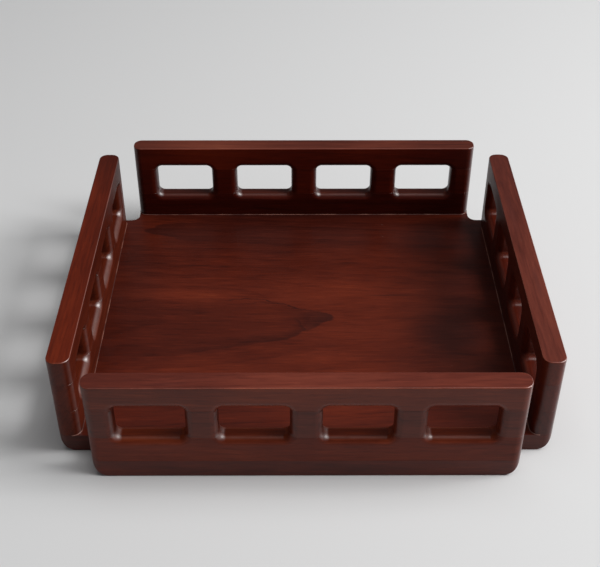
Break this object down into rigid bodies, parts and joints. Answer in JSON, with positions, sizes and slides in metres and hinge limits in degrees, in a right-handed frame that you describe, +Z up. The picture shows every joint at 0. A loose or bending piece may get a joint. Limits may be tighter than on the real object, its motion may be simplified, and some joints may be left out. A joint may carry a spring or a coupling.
{
  "type": "wooden serving tray",
  "caption": "Rectangular hardwood serving tray: thick notched base board with upright walls on all sides, each pierced by rounded finger openings for gripping and carrying.",
  "frame": {"origin": "on the ground, under the middle of the base board", "axes": "+X along the tray's length to the right, +Y towards the back wall, +Z up out of the tray"},
  "size_m": [0.4524, 0.406, 0.1084],
  "materials": {
    "red_wood": "red-brown mahogany, satin lacquer",
    "dowel_wood": "bare pale hardwood, hidden in the joints"
  },
  "bodies": {
    "root": {"base_board": "red_wood", "front_lower_rail": "red_wood", "front_upper_rail": "red_wood", "front_end_block_1": "red_wood", "front_middle_block_1": "red_wood", "front_middle_block_2": "red_wood", "front_middle_block_3": "red_wood", "front_end_block_2": "red_wood", "front_dowel_1": "dowel_wood", "front_dowel_2": "dowel_wood", "front_dowel_3": "dowel_wood", "front_dowel_4": "dowel_wood", "back_lower_rail": "red_wood", "back_upper_rail": "red_wood", "back_end_block_1": "red_wood", "back_middle_block_1": "red_wood", "back_middle_block_2": "red_wood", "back_middle_block_3": "red_wood", "back_end_block_2": "red_wood", "back_dowel_1": "dowel_wood", "back_dowel_2": "dowel_wood", "back_dowel_3": "dowel_wood", "back_dowel_4": "dowel_wood", "left_lower_rail": "red_wood", "left_upper_rail": "red_wood", "left_end_block_1": "red_wood", "left_middle_block_1": "red_wood", "left_middle_block_2": "red_wood", "left_middle_block_3": "red_wood", "left_end_block_2": "red_wood", "left_dowel_1": "dowel_wood", "left_dowel_2": "dowel_wood", "left_dowel_3": "dowel_wood", "left_dowel_4": "dowel_wood", "right_lower_rail": "red_wood", "right_upper_rail": "red_wood", "right_end_block_1": "red_wood", "right_middle_block_1": "red_wood", "right_middle_block_2": "red_wood", "right_middle_block_3": "red_wood", "right_end_block_2": "red_wood", "right_dowel_1": "dowel_wood", "right_dowel_2": "dowel_wood", "right_dowel_3": "dowel_wood", "right_dowel_4": "dowel_wood"}
  },
  "joints": []
}
